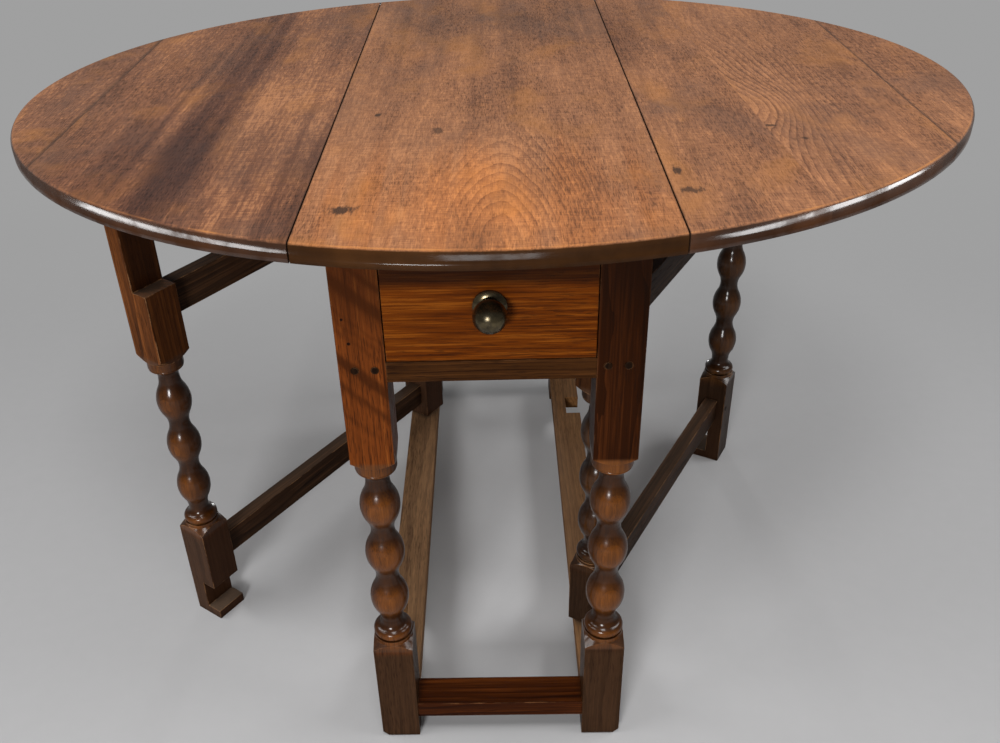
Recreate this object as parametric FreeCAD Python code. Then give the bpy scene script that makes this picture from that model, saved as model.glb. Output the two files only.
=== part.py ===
import FreeCAD, Part
import math
import os

# Gateleg dining table: oval top with two drop leaves, bobbin-turned frame, two swing gates, one end drawer.
# Millimetres, Z up. The origin is on the floor under the middle of the top, and the drawer faces -Y.
# Left is -X. The left gate turns at the back of its side and the right gate at the front of its own.

# Top
table_height = 720.0
top_thickness = 20.0
top_length = 1126.0
top_width = 962.0
upper_edge_radius = 5.0
lower_edge_radius = 4.0
centre_board_width = 341.0
leaf_gap = 1.6
outer_board_width = 91.0
right_inner_front_width = 139.0
right_inner_rear_width = 92.5

# Frame legs
side_overhang = 20.0
end_overhang = 76.0
leg_square = 47.0
foot_chamfer = 2.0
foot_wear = 9.0

# Turning shared by the frame legs, the gate legs and the gate posts
lower_block_top = 158.0
upper_block_length = 259.0
turning_end_length = 37.25
shoulder_rise = 8.0
turning_allowance = 0.8
neck_diameter = 26.8
bobbin_count = 3
bobbin_relief = 0.4
swell_share = 0.577
base_height = 5.0
ring_height = 12.0
ring_projection = 3.5
collar_height = 14.0
bead_height = 3.5
bead_inset = 1.8
bead_projection = 1.2
lathe_margin = 10.0

# Rails under the top
rail_thickness = 24.0
rail_height = 163.0
rail_tenon_thickness = 12.0
rail_tenon_length = 20.0
end_rail_tenon_length = 16.0
rail_tenon_shoulder = 15.0
drawer_opening_height = 134.0
drawer_rail_height = 23.0
drawer_rail_depth = 25.0
drawer_rail_tenon_length = 40.0
drawer_rail_tenon_shoulder = 3.0

# Stretchers near the floor
stretcher_bottom = 35.5
stretcher_thickness = 23.0
rear_stretcher_lift = 14.0
side_stretcher_width = 47.0
side_stretcher_tenon_width = 22.0
side_stretcher_tenon_length = 18.0
end_stretcher_width = 41.0
end_stretcher_recess = 2.0
end_stretcher_tenon_width = 16.0
end_stretcher_tenon_length = 24.0
end_stretcher_tenon_inset = 9.0
stretcher_tenon_height = 12.0

# Gates
gate_square = 46.0
gate_pivot_inset = 151.0
left_gate_angle = 34.4
right_gate_angle = 29.5
gate_rail_thickness = 21.0
gate_top_rail_height = 43.0
gate_top_rail_drop = 4.0
gate_bottom_rail_height = 38.0
gate_bottom_rail_level = 85.0
gate_tenon_thickness = 9.0
gate_tenon_length = 24.0
gate_tenon_shoulder = 6.0
post_foot_gap = 3.5
post_head_gap = 3.0
pintle_diameter = 16.0
pintle_length = 22.0
lap_gap = 4.0
toe_height = 14.0
foot_notch_gap = 1.5
leaf_rest_gap = 0.4
notch_side_gap = 2.0
notch_face_gap = 0.5

# Drawer
drawer_front_recess = 1.0
drawer_front_thickness = 20.0
drawer_side_thickness = 10.0
drawer_back_thickness = 10.0
drawer_bottom_thickness = 7.0
drawer_bottom_rise = 10.0
drawer_rear_space = 379.0
drawer_side_gap = 1.0
drawer_lift = 0.3
drawer_head_gap = 1.5
drawer_side_drop = 3.5
drawer_back_drop = 8.0
groove_depth = 5.0
housing_depth = 4.0
tail_count = 3
tail_length = 14.0
tail_root_share = 0.5
tail_end_share = 0.62
runner_height = 20.0
runner_bearing = 14.0
runner_end_gap = 0.5
guide_height = 20.0

# Knob
knob_drop = 6.0
knob_ball_diameter = 33.0
knob_ball_reach = 22.0
knob_neck_diameter = 12.0
rose_diameter = 33.0
rose_rim = 2.0
rose_height = 6.0
rose_dome_share = 0.7
spindle_diameter = 6.0
spindle_grip = 8.0
spindle_tail = 2.0
nut_square = 12.0
nut_thickness = 4.0

# Hinges under the leaves
hinge_inset = 151.0
hinge_reach = 29.0
hinge_throat = 34.0
hinge_tail = 50.0
hinge_plate_thickness = 2.5
knuckle_diameter = 8.0
knuckle_count = 3
hinge_pin_diameter = 4.5
hinge_pin_overhang = 1.0
screw_shank_diameter = 3.5
screw_head_diameter = 6.5
screw_head_height = 1.8
screw_length = 12.0
screw_reach = 20.0
screw_pitch = 26.0

# Pegs and dowels
peg_diameter = 8.0
peg_length = 26.0
peg_proud = 0.5
drawer_rail_peg_drop = 9.0
drawer_rail_peg_insets = (11.0, 31.0)
side_rail_peg_drops = (125.0, 45.0)
end_rail_peg_drops = (105.0, 25.0)
dowel_diameter = 9.0
dowel_in_rail = 14.0
dowel_in_board = 9.0
dowel_inset = 95.0
dowel_count = 3

# Clearances
fit_clearance = 0.1
turning_clearance = 0.3

# Sizes that follow from the ones above
top_underside = table_height - top_thickness
leaf_joint = centre_board_width / 2 + leaf_gap / 2
leaf_edge = leaf_joint + leaf_gap / 2
outer_board_joint = top_length / 2 - outer_board_width
hinge_y = top_width / 2 - hinge_inset
frame_width = centre_board_width - 2 * side_overhang
frame_length = top_width - 2 * end_overhang
leg_x = (frame_width - leg_square) / 2
leg_y = (frame_length - leg_square) / 2
inner_x = leg_x - leg_square / 2
inner_y = leg_y - leg_square / 2
outer_x = frame_width / 2
outer_y = frame_length / 2
upper_block_bottom = top_underside - upper_block_length
bobbin_pitch = (upper_block_bottom - lower_block_top - 2 * turning_end_length) / bobbin_count
rail_bottom = top_underside - rail_height
drawer_rail_top = top_underside - drawer_opening_height
drawer_rail_bottom = drawer_rail_top - drawer_rail_height
drawer_rail_peg_level = drawer_rail_top - drawer_rail_peg_drop
stretcher_top = stretcher_bottom + stretcher_thickness
stretcher_middle = stretcher_bottom + stretcher_thickness / 2
gate_pivot_y = outer_y - gate_pivot_inset
gate_length = 2 * gate_pivot_y
post_bottom = stretcher_top + post_foot_gap
post_top = rail_bottom - post_head_gap
lap_bottom = rail_bottom - lap_gap
gate_top_rail_level = lap_bottom - gate_top_rail_drop - gate_top_rail_height
notch_floor = leg_x - notch_face_gap
drawer_half_width = inner_x - drawer_side_gap
drawer_face_y = -outer_y + drawer_front_recess
drawer_shoulder_y = drawer_face_y + drawer_front_thickness
drawer_end_y = outer_y - drawer_rear_space
drawer_low = drawer_rail_top + drawer_lift
drawer_high = top_underside - drawer_head_gap
drawer_side_high = drawer_high - drawer_side_drop
knob_level = (drawer_low + drawer_high) / 2 - knob_drop
dowel_pitch = (frame_length - 2 * dowel_inset) / (dowel_count - 1)
hinge_axis_z = top_underside - knuckle_diameter / 2 - turning_clearance

V = FreeCAD.Vector
ORIGIN = V(0, 0, 0)
UP = V(0, 0, 1)
DOWN = V(0, 0, -1)
ALONG_X = V(1, 0, 0)
ALONG_Y = V(0, 1, 0)
nodes = {}


def block(limits):
    """Box between two limits along each axis."""
    x0, x1, y0, y1, z0, z1 = limits
    return Part.makeBox(x1 - x0, y1 - y0, z1 - z0, V(x0, y0, z0))


def band(middle, size):
    """Two limits that lie a size apart about a middle."""
    return (middle - size / 2, middle + size / 2)


def grown(limits, clearance):
    """Limits moved outward by a clearance on every side."""
    sides = (-1, 1, -1, 1, -1, 1)
    return tuple(value + side * clearance for value, side in zip(limits, sides))


def mirrored(limits, x_sign, y_sign):
    """Limits given for the +X +Y quarter, carried to another quarter of the table."""
    x0, x1, y0, y1, z0, z1 = limits
    xs = sorted((x_sign * x0, x_sign * x1))
    ys = sorted((y_sign * y0, y_sign * y1))
    return (*xs, *ys, z0, z1)


def cylinder(diameter, start, direction, length):
    """Round bar from a start point along a direction."""
    return Part.makeCylinder(diameter / 2, length, start, direction)


def edges_at(solid, level):
    """Edges that lie wholly at one height."""
    tolerance = 1e-4
    boxes = [(edge, edge.BoundBox) for edge in solid.Edges]
    return [edge for edge, box in boxes if max(abs(box.ZMin - level), abs(box.ZMax - level)) < tolerance]


def keep(name, solids):
    """File the solids of one node under its name."""
    nodes[name] = solids


def one(shape):
    """The single solid that a cut or a union leaves."""
    solids = shape.Solids
    if len(solids) != 1:
        raise ValueError("a piece came apart into %d solids" % len(solids))
    return solids[0]


# Turned posts

def profile_point(radius, level):
    return V(radius, 0, level)


def polyline(points):
    """Straight edges through (radius, level) pairs."""
    corners = [profile_point(*pair) for pair in points]
    return [Part.LineSegment(a, b).toShape() for a, b in zip(corners, corners[1:])]


def arc(start, middle, end):
    """Round edge through three (radius, level) pairs."""
    return Part.Arc(profile_point(*start), profile_point(*middle), profile_point(*end)).toShape()


def cove(wide, narrow):
    """Hollow edge that leaves the wide pair square to the axis and meets the narrow pair along it."""
    ease = 1 - math.sqrt(0.5)
    middle = (narrow[0] + ease * (wide[0] - narrow[0]), wide[1] + ease * (narrow[1] - wide[1]))
    return arc(wide, middle, narrow)


def hollow(narrow, join):
    """Hollow edge that leaves the narrow pair along the axis and ends at the join."""
    out, along = join[0] - narrow[0], join[1] - narrow[1]
    radius = (out ** 2 + along ** 2) / (2 * out)
    half_turn = math.asin(along / radius) / 2
    middle = (narrow[0] + radius * (1 - math.cos(half_turn)), narrow[1] + radius * math.sin(half_turn))
    return arc(narrow, middle, join)


def bobbin(radius, neck, centre):
    """Round swelling that runs through a hollow into the neck above and below it."""
    half_pitch = bobbin_pitch / 2
    rise = swell_share * half_pitch
    join = radius - swell_share * (radius - neck)
    swelling = arc((join, centre - rise), (radius, centre), (join, centre + rise))
    hollows = [hollow((neck, centre + s * half_pitch), (join, centre + s * rise)) for s in (-1, 1)]
    return [swelling] + hollows


def turned_envelope(square, bottom, top):
    """Solid of revolution that spares the square blocks and turns ring, bobbins and collar between them."""
    corner = math.hypot(square, square) / 2
    outside = corner + lathe_margin
    turned = (square - turning_allowance) / 2
    neck = neck_diameter / 2
    bead_root = turned - bead_inset
    ring_root = turned - ring_projection
    lower_shoulder = lower_block_top + shoulder_rise
    ring_bottom = lower_shoulder + base_height
    ring_top = ring_bottom + ring_height
    upper_shoulder = upper_block_bottom - shoulder_rise
    collar_bottom = upper_shoulder - collar_height
    bead_top = collar_bottom + bead_height
    middle = (lower_block_top + upper_block_bottom) / 2
    centres = [middle + (i - (bobbin_count - 1) / 2) * bobbin_pitch for i in range(bobbin_count)]
    low, high = bottom - lathe_margin, top + lathe_margin

    edges = polyline([(0, low), (outside, low), (outside, lower_block_top), (corner, lower_block_top)])
    edges += polyline([(corner, lower_block_top), (turned, lower_shoulder), (turned, ring_bottom)])
    edges += polyline([(turned, ring_bottom), (ring_root, ring_bottom)])
    edges.append(arc((ring_root, ring_bottom), (turned, (ring_bottom + ring_top) / 2), (ring_root, ring_top)))
    edges.append(cove((ring_root, ring_top), (neck, centres[0] - bobbin_pitch / 2)))
    for centre in centres:
        edges += bobbin(turned - bobbin_relief, neck, centre)
    edges.append(cove((ring_root, collar_bottom), (neck, centres[-1] + bobbin_pitch / 2)))
    edges += polyline([(ring_root, collar_bottom), (bead_root, collar_bottom)])
    bead_crown = (bead_root + bead_projection, (collar_bottom + bead_top) / 2)
    edges.append(arc((bead_root, collar_bottom), bead_crown, (bead_root, bead_top)))
    edges += polyline([(bead_root, bead_top), (turned, bead_top), (turned, upper_shoulder)])
    edges += polyline([(turned, upper_shoulder), (corner, upper_block_bottom)])
    edges += polyline([(corner, upper_block_bottom), (outside, upper_block_bottom), (outside, high)])
    edges += polyline([(outside, high), (0, high), (0, low)])
    outline = Part.Wire(Part.__sortEdges__(edges))
    return Part.Face(outline).revolve(ORIGIN, UP, 360)


def turned_post(square, bottom, top):
    """Square billet with its middle turned."""
    billet = block((*band(0, square), *band(0, square), bottom, top))
    return one(billet.common(turned_envelope(square, bottom, top)))


# Where the tenons of the +X +Y quarter lie: each is cut as a mortise in the leg and left on its rail

def side_rail_tenon():
    levels = (rail_bottom + rail_tenon_shoulder, top_underside - rail_tenon_shoulder)
    return (*band(leg_x, rail_tenon_thickness), inner_y, inner_y + rail_tenon_length, *levels)


def end_rail_tenon():
    levels = (rail_bottom + rail_tenon_shoulder, top_underside - rail_tenon_shoulder)
    return (inner_x, inner_x + end_rail_tenon_length, *band(leg_y, rail_tenon_thickness), *levels)


def drawer_rail_tenon():
    levels = (drawer_rail_bottom + drawer_rail_tenon_shoulder, drawer_rail_top - drawer_rail_tenon_shoulder)
    depth = band(outer_y - drawer_rail_depth / 2, rail_tenon_thickness)
    return (inner_x, inner_x + drawer_rail_tenon_length, *depth, *levels)


def side_stretcher_tenon():
    levels = band(stretcher_middle, stretcher_tenon_height)
    depth = (inner_y, inner_y + side_stretcher_tenon_length)
    return (*band(leg_x, side_stretcher_tenon_width), *depth, *levels)


def end_stretcher_lift(y_sign):
    """Height of an end stretcher above the side stretchers: the rear one sits higher."""
    return rear_stretcher_lift if y_sign > 0 else 0.0


def end_stretcher_tenon(y_sign):
    levels = band(stretcher_middle + end_stretcher_lift(y_sign), stretcher_tenon_height)
    far = outer_y - end_stretcher_tenon_inset
    return (inner_x, inner_x + end_stretcher_tenon_length, far - end_stretcher_tenon_width, far, *levels)


# Pegs and dowels

def frame_peg_places():
    """Start point and direction of each peg that locks a frame tenon."""
    places = []
    for x_sign in (-1, 1):
        inward_x = ALONG_X * -x_sign
        for y_sign in (-1, 1):
            rail_y = y_sign * (inner_y + rail_tenon_length / 2)
            for drop in side_rail_peg_drops:
                places.append((V(x_sign * outer_x, rail_y, top_underside - drop), inward_x))
            stretcher_y = y_sign * (inner_y + side_stretcher_tenon_length / 2)
            places.append((V(x_sign * outer_x, stretcher_y, stretcher_middle), inward_x))
        for inset in drawer_rail_peg_insets:
            places.append((V(x_sign * (inner_x + inset), -outer_y, drawer_rail_peg_level), ALONG_Y))
        end_peg_x = x_sign * (inner_x + end_rail_tenon_length / 2)
        for drop in end_rail_peg_drops:
            places.append((V(end_peg_x, outer_y, top_underside - drop), -ALONG_Y))
    return places


def peg(start, direction, clearance=0.0):
    """Round oak peg that stands a little proud, or its hole."""
    head = start - direction * (peg_proud + clearance)
    return cylinder(peg_diameter + 2 * clearance, head, direction, peg_length + 2 * clearance)


def dowel_places():
    """Middle of each blind dowel between the side rails and the centre board."""
    offsets = [(i - (dowel_count - 1) / 2) * dowel_pitch for i in range(dowel_count)]
    return [V(x_sign * leg_x, y, top_underside) for x_sign in (-1, 1) for y in offsets]


def dowel(place, clearance=0.0):
    """Blind dowel across the underside of the top, or its hole."""
    start = place - UP * (dowel_in_rail + clearance)
    length = dowel_in_rail + dowel_in_board + 2 * clearance
    return cylinder(dowel_diameter + 2 * clearance, start, UP, length)


def frame_peg_holes():
    return Part.makeCompound([peg(*place, fit_clearance) for place in frame_peg_places()])


def dowel_holes():
    return Part.makeCompound([dowel(place, fit_clearance) for place in dowel_places()])


# Fixed frame

def worn_foot(leg, x_sign):
    """Break the lower edges of a leg and wear back the one on the outer side of the table."""
    sides = [edge for edge in edges_at(leg, 0) if x_sign * edge.CenterOfMass.x < leg_square / 4]
    leg = leg.makeChamfer(foot_chamfer, sides)
    outer = [edge for edge in edges_at(leg, 0) if x_sign * edge.CenterOfMass.x > leg_square / 4]
    return leg.makeChamfer(foot_wear, outer)


def frame_leg(x_sign, y_sign):
    """Leg with worn foot and the mortises that face its rails and stretchers."""
    leg = worn_foot(turned_post(leg_square, 0, top_underside), x_sign)
    leg.translate(V(x_sign * leg_x, y_sign * leg_y, 0))
    end_tenon = drawer_rail_tenon() if y_sign < 0 else end_rail_tenon()
    tenons = (side_rail_tenon(), side_stretcher_tenon(), end_stretcher_tenon(y_sign), end_tenon)
    for tenon in tenons:
        leg = leg.cut(block(grown(mirrored(tenon, x_sign, y_sign), fit_clearance)))
    return one(leg.cut(frame_peg_holes()))


def with_tenons(body, tenon, along_x):
    """Rail or stretcher joined with a tenon at each end."""
    signs = (-1, 1)
    ends = [mirrored(tenon, s, 1) if along_x else mirrored(tenon, 1, s) for s in signs]
    return body.fuse([block(limits) for limits in ends]).removeSplitter()


def gate_notch(x_sign, low, high):
    """Space in the outer face of a rail or stretcher that takes the closed gate leg."""
    along = band(x_sign * gate_pivot_y, gate_square + 2 * notch_side_gap)
    across = sorted((x_sign * notch_floor, x_sign * frame_width))
    return block((*across, *along, low, high))


def pintle_hole(x_sign, start_level, direction):
    start = V(x_sign * leg_x, -x_sign * gate_pivot_y, start_level)
    diameter = pintle_diameter + 2 * turning_clearance
    return cylinder(diameter, start, direction, pintle_length + turning_clearance)


def side_rail(x_sign):
    """Deep rail with a housing for the closed gate leg and a socket for the gate post."""
    body = block((*band(leg_x, rail_thickness), -inner_y, inner_y, rail_bottom, top_underside))
    rail = with_tenons(body, side_rail_tenon(), False)
    if x_sign < 0:
        rail = rail.mirror(ORIGIN, ALONG_X)
    rail = rail.cut(gate_notch(x_sign, rail_bottom, top_underside))
    rail = rail.cut(pintle_hole(x_sign, rail_bottom, UP))
    return one(rail.cut([frame_peg_holes(), dowel_holes()]))


def rear_end_rail():
    body = block((-inner_x, inner_x, *band(leg_y, rail_thickness), rail_bottom, top_underside))
    return one(with_tenons(body, end_rail_tenon(), True).cut(frame_peg_holes()))


def front_drawer_rail():
    levels = (drawer_rail_bottom, drawer_rail_top)
    body = block((-inner_x, inner_x, outer_y - drawer_rail_depth, outer_y, *levels))
    rail = with_tenons(body, drawer_rail_tenon(), True).mirror(ORIGIN, ALONG_Y)
    return one(rail.cut(frame_peg_holes()))


def side_stretcher(x_sign):
    """Flat stretcher, notched for the foot of the closed gate leg and bored for the gate post."""
    body = block((*band(leg_x, side_stretcher_width), -inner_y, inner_y, stretcher_bottom, stretcher_top))
    bar = with_tenons(body, side_stretcher_tenon(), False)
    if x_sign < 0:
        bar = bar.mirror(ORIGIN, ALONG_X)
    bar = bar.cut(gate_notch(x_sign, stretcher_bottom, stretcher_top))
    bar = bar.cut(pintle_hole(x_sign, stretcher_top, DOWN))
    return one(bar.cut(frame_peg_holes()))


def end_stretcher(y_sign):
    far = outer_y - end_stretcher_recess
    bottom = stretcher_bottom + end_stretcher_lift(y_sign)
    body = block((-inner_x, inner_x, far - end_stretcher_width, far, bottom, bottom + stretcher_thickness))
    bar = with_tenons(body, end_stretcher_tenon(y_sign), True)
    if y_sign < 0:
        bar = bar.mirror(ORIGIN, ALONG_Y)
    return one(bar)


def drawer_runner(x_sign):
    """L-shaped runner on the inner face of a side rail: a bearing strip and a guide beside the drawer."""
    wall = leg_x - rail_thickness / 2
    along = (-inner_y + runner_end_gap, inner_y - runner_end_gap)
    strip = block((inner_x - runner_bearing, wall, *along, drawer_rail_top - runner_height, drawer_rail_top))
    guide = block((inner_x, wall, *along, drawer_rail_top, drawer_rail_top + guide_height))
    runner = strip.fuse(guide).removeSplitter()
    return one(runner if x_sign > 0 else runner.mirror(ORIGIN, ALONG_X))


def make_frame():
    for y_sign, end in ((-1, "front"), (1, "rear")):
        keep(end + "_end_stretcher", [end_stretcher(y_sign)])
        for x_sign, side in ((-1, "left"), (1, "right")):
            keep("%s_%s_leg" % (end, side), [frame_leg(x_sign, y_sign)])
    for x_sign, side in ((-1, "left"), (1, "right")):
        keep(side + "_side_rail", [side_rail(x_sign)])
        keep(side + "_side_stretcher", [side_stretcher(x_sign)])
        keep(side + "_drawer_runner", [drawer_runner(x_sign)])
    keep("rear_end_rail", [rear_end_rail()])
    keep("front_drawer_rail", [front_drawer_rail()])
    keep("frame_pegs", [peg(*place) for place in frame_peg_places()])
    keep("top_dowels", [dowel(place) for place in dowel_places()])


# Gates, built closed along +X of their own frame with the frame side at +Y, then swung into place

def gate_tenon(at_leg, level, height):
    """Tenon limits of a gate rail at the leg or at the post."""
    face = gate_length - gate_square / 2 if at_leg else gate_square / 2
    reach = (face, face + gate_tenon_length) if at_leg else (face - gate_tenon_length, face)
    levels = (level + gate_tenon_shoulder, level + height - gate_tenon_shoulder)
    return (*reach, *band(0, gate_tenon_thickness), *levels)


def gate_rails():
    """Level and height of the two rails of a gate."""
    return ((gate_top_rail_level, gate_top_rail_height), (gate_bottom_rail_level, gate_bottom_rail_height))


def gate_peg_places():
    """Pegs from the outer face through the four tenons of a gate."""
    inset = gate_square / 2 - gate_tenon_length / 2
    levels = [level + height / 2 for level, height in gate_rails()]
    return [(V(x, -gate_square / 2, z), ALONG_Y) for x in (inset, gate_length - inset) for z in levels]


def gate_peg_holes():
    return Part.makeCompound([peg(*place, fit_clearance) for place in gate_peg_places()])


def gate_mortises(at_leg):
    return [block(grown(gate_tenon(at_leg, *rail), fit_clearance)) for rail in gate_rails()]


def gate_post():
    """Turned post with a round pintle at each end."""
    post = turned_post(gate_square, post_bottom, post_top)
    pintles = [
        cylinder(pintle_diameter, V(0, 0, post_bottom), DOWN, pintle_length - post_foot_gap),
        cylinder(pintle_diameter, V(0, 0, post_top), UP, pintle_length - post_head_gap),
    ]
    post = post.fuse(pintles)
    return one(post.cut(gate_mortises(False) + [gate_peg_holes()]))


def gate_leg():
    """Turned leg, halved at the head to lap the side rail and notched at the foot to lap the stretcher."""
    half = gate_square / 2
    across = (*band(0, 2 * gate_square), 0, gate_square)
    head = top_underside - leaf_rest_gap
    leg = turned_post(gate_square, 0, head)
    leg.translate(V(gate_length, 0, 0))
    notch_levels = (toe_height, stretcher_top + foot_notch_gap)
    laps = [block((*across, lap_bottom, head + half)), block((*across, *notch_levels))]
    for lap in laps:
        lap.translate(V(gate_length, 0, 0))
    return one(leg.cut(laps + gate_mortises(True) + [gate_peg_holes()]))


def gate_rail(level, height):
    """Rail between post and leg with a tenon at each end."""
    half = gate_square / 2
    body = block((half, gate_length - half, *band(0, gate_rail_thickness), level, level + height))
    tenons = [block(gate_tenon(at_leg, level, height)) for at_leg in (False, True)]
    return one(body.fuse(tenons).removeSplitter().cut(gate_peg_holes()))


def make_gate(side, x_sign, opening_angle):
    """One gate, hung on its pivot and opened away from the frame."""
    top_rail, bottom_rail = gate_rails()
    pieces = {
        "post": [gate_post()],
        "leg": [gate_leg()],
        "top_rail": [gate_rail(*top_rail)],
        "bottom_rail": [gate_rail(*bottom_rail)],
        "pegs": [peg(*place) for place in gate_peg_places()],
    }
    closed_heading = 90.0 * x_sign
    for name, solids in pieces.items():
        for solid in solids:
            solid.rotate(ORIGIN, UP, closed_heading - opening_angle)
            solid.translate(V(x_sign * leg_x, -x_sign * gate_pivot_y, 0))
        keep("%s_gate_%s" % (side, name), solids)


# Hinges

def hinge_places():
    return (-hinge_y, hinge_y)


def knuckles(y, on_leaf):
    """Start and length of the knuckles of one plate along the hinge line."""
    pitch = hinge_throat / knuckle_count
    first = y - hinge_throat / 2
    return [(first + i * pitch, pitch) for i in range(knuckle_count) if (i % 2 == 1) == on_leaf]


def hinge_barrel(x, start, length, diameter, clearance=0.0):
    """Bar along the hinge line, shortened or lengthened by a clearance at both ends."""
    origin = V(x, start - clearance, hinge_axis_z)
    return cylinder(diameter, origin, ALONG_Y, length + 2 * clearance)


def hinge_screw_places(x_sign, y, on_leaf):
    reach = screw_reach if on_leaf else -screw_reach
    x = x_sign * (leaf_joint + reach)
    return [V(x, along, top_underside - hinge_plate_thickness) for along in band(y, screw_pitch)]


def screw(place, clearance=0.0):
    """Countersunk screw driven upward, or its hole."""
    rim, root = screw_head_diameter / 2 + clearance, screw_shank_diameter / 2 + clearance
    head = Part.makeCone(rim, root, screw_head_height, place, UP)
    shank = cylinder(screw_shank_diameter + 2 * clearance, place, UP, screw_length + clearance)
    return one(head.fuse(shank))


def hinge_plate(x_sign, y, on_leaf):
    """Butterfly plate with its knuckles, cut clear of the other plate's knuckles."""
    x = x_sign * leaf_joint
    outward = x_sign if on_leaf else -x_sign
    near, far = x + outward * turning_clearance, x + outward * hinge_reach
    low = top_underside - hinge_plate_thickness
    throat, tail = band(y, hinge_throat), band(y, hinge_tail)
    corners = [V(near, throat[0], low), V(near, throat[1], low), V(far, tail[1], low), V(far, tail[0], low)]
    plate = Part.Face(Part.makePolygon(corners + corners[:1])).extrude(UP * hinge_plate_thickness)
    own = [hinge_barrel(x, *place, knuckle_diameter, -turning_clearance) for place in knuckles(y, on_leaf)]
    room = knuckle_diameter + 2 * turning_clearance
    other = [hinge_barrel(x, *place, room) for place in knuckles(y, not on_leaf)]
    bore = hinge_barrel(x, y - hinge_tail, 2 * hinge_tail, hinge_pin_diameter + 2 * turning_clearance)
    holes = [screw(place, fit_clearance) for place in hinge_screw_places(x_sign, y, on_leaf)]
    return one(plate.cut(other).fuse(own).cut([bore] + holes))


def hinge_pin(x_sign, y):
    """Pin through the knuckles of one hinge."""
    start = y - hinge_throat / 2
    return hinge_barrel(x_sign * leaf_joint, start, hinge_throat, hinge_pin_diameter, hinge_pin_overhang)


def make_hinges():
    frame_screws = []
    for x_sign, side in ((-1, "left"), (1, "right")):
        leaf_screws = []
        for y in hinge_places():
            frame_screws += [screw(place) for place in hinge_screw_places(x_sign, y, False)]
            leaf_screws += [screw(place) for place in hinge_screw_places(x_sign, y, True)]
        keep(side + "_hinge_frame_plates", [hinge_plate(x_sign, y, False) for y in hinge_places()])
        keep(side + "_hinge_leaf_plates", [hinge_plate(x_sign, y, True) for y in hinge_places()])
        keep(side + "_hinge_pins", [hinge_pin(x_sign, y) for y in hinge_places()])
        keep(side + "_leaf_hinge_screws", leaf_screws)
    keep("frame_hinge_screws", frame_screws)


# Top

def oval_slab():
    """Whole oval top with round worn edges, before it is parted into boards."""
    centre = V(0, 0, top_underside)
    tips = [V(top_length / 2, 0, 0), V(0, top_width / 2, 0)]
    long_tip, short_tip = sorted(tips, key=lambda tip: -tip.Length)
    oval = Part.Ellipse(centre + long_tip, centre + short_tip, centre).toShape()
    slab = Part.Face(Part.Wire(oval)).extrude(UP * top_thickness)
    slab = slab.makeFillet(upper_edge_radius, edges_at(slab, table_height))
    return slab.makeFillet(lower_edge_radius, edges_at(slab, top_underside))


def joint(front, rear):
    """Straight board joint in plan, from its X at the front and rear of the top, drawn past both."""
    lean = (rear - front) / 2
    return [(front - lean, -top_width), (rear + lean, top_width)]


def board(slab, left, right, holes):
    """Length of the slab between two joints, bored from below."""
    low, high = top_underside - top_thickness, table_height + top_thickness
    corners = [V(x, y, low) for x, y in left + right[::-1]]
    strip = Part.Face(Part.makePolygon(corners + corners[:1])).extrude(UP * (high - low))
    return one(slab.common(strip).cut(holes))


def make_top():
    slab = oval_slab()
    screws = {True: [], False: []}
    for x_sign in (-1, 1):
        for y in hinge_places():
            for on_leaf in (True, False):
                places = hinge_screw_places(x_sign, y, on_leaf)
                screws[on_leaf] += [screw(place, fit_clearance) for place in places]
    leaf_holes = Part.makeCompound(screws[True])
    centre_holes = Part.makeCompound(screws[False] + [dowel_holes()])
    places = {"centre": centre_board_width / 2, "leaf": leaf_edge}
    places.update(outer=outer_board_joint, tip=top_length)
    left = {name: joint(-x, -x) for name, x in places.items()}
    right = {name: joint(x, x) for name, x in places.items()}
    right["inner"] = joint(leaf_edge + right_inner_front_width, leaf_edge + right_inner_rear_width)
    keep("centre_board", [board(slab, left["centre"], right["centre"], centre_holes)])
    keep("left_leaf_inner_board", [board(slab, left["outer"], left["leaf"], leaf_holes)])
    keep("left_leaf_outer_board", [board(slab, left["tip"], left["outer"], leaf_holes)])
    keep("right_leaf_inner_board", [board(slab, right["leaf"], right["inner"], leaf_holes)])
    keep("right_leaf_middle_board", [board(slab, right["inner"], right["outer"], leaf_holes)])
    keep("right_leaf_outer_board", [board(slab, right["outer"], right["tip"], leaf_holes)])


# Drawer

def drawer_tail(index):
    """Dovetail of the right drawer side, which the drawer front laps."""
    pitch = (drawer_side_high - drawer_low) / tail_count
    middle = drawer_low + (2 * index + 1) * pitch / 2
    root, end = band(middle, pitch * tail_root_share), band(middle, pitch * tail_end_share)
    near, far = drawer_shoulder_y, drawer_shoulder_y - tail_length
    x = drawer_half_width - drawer_side_thickness
    corners = [V(x, near, root[0]), V(x, near, root[1]), V(x, far, end[1]), V(x, far, end[0])]
    return Part.Face(Part.makePolygon(corners + corners[:1])).extrude(V(drawer_side_thickness, 0, 0))


def drawer_bottom_limits():
    half = drawer_half_width - drawer_side_thickness + groove_depth
    low = drawer_low + drawer_bottom_rise
    return (-half, half, drawer_shoulder_y - groove_depth, drawer_end_y, low, low + drawer_bottom_thickness)


def drawer_back_limits():
    half = drawer_half_width - drawer_side_thickness + housing_depth
    low = drawer_bottom_limits()[-1] + fit_clearance
    along = (drawer_end_y - 2 * drawer_back_thickness, drawer_end_y - drawer_back_thickness)
    return (-half, half, *along, low, drawer_side_high - drawer_back_drop)


def drawer_side():
    """Right side with its tails, the groove for the bottom and the housing for the back."""
    across = (drawer_half_width - drawer_side_thickness, drawer_half_width)
    side = block((*across, drawer_shoulder_y, drawer_end_y, drawer_low, drawer_side_high))
    side = side.fuse([drawer_tail(i) for i in range(tail_count)]).removeSplitter()
    fitted = (drawer_bottom_limits(), drawer_back_limits())
    return one(side.cut([block(grown(limits, fit_clearance)) for limits in fitted]))


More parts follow.
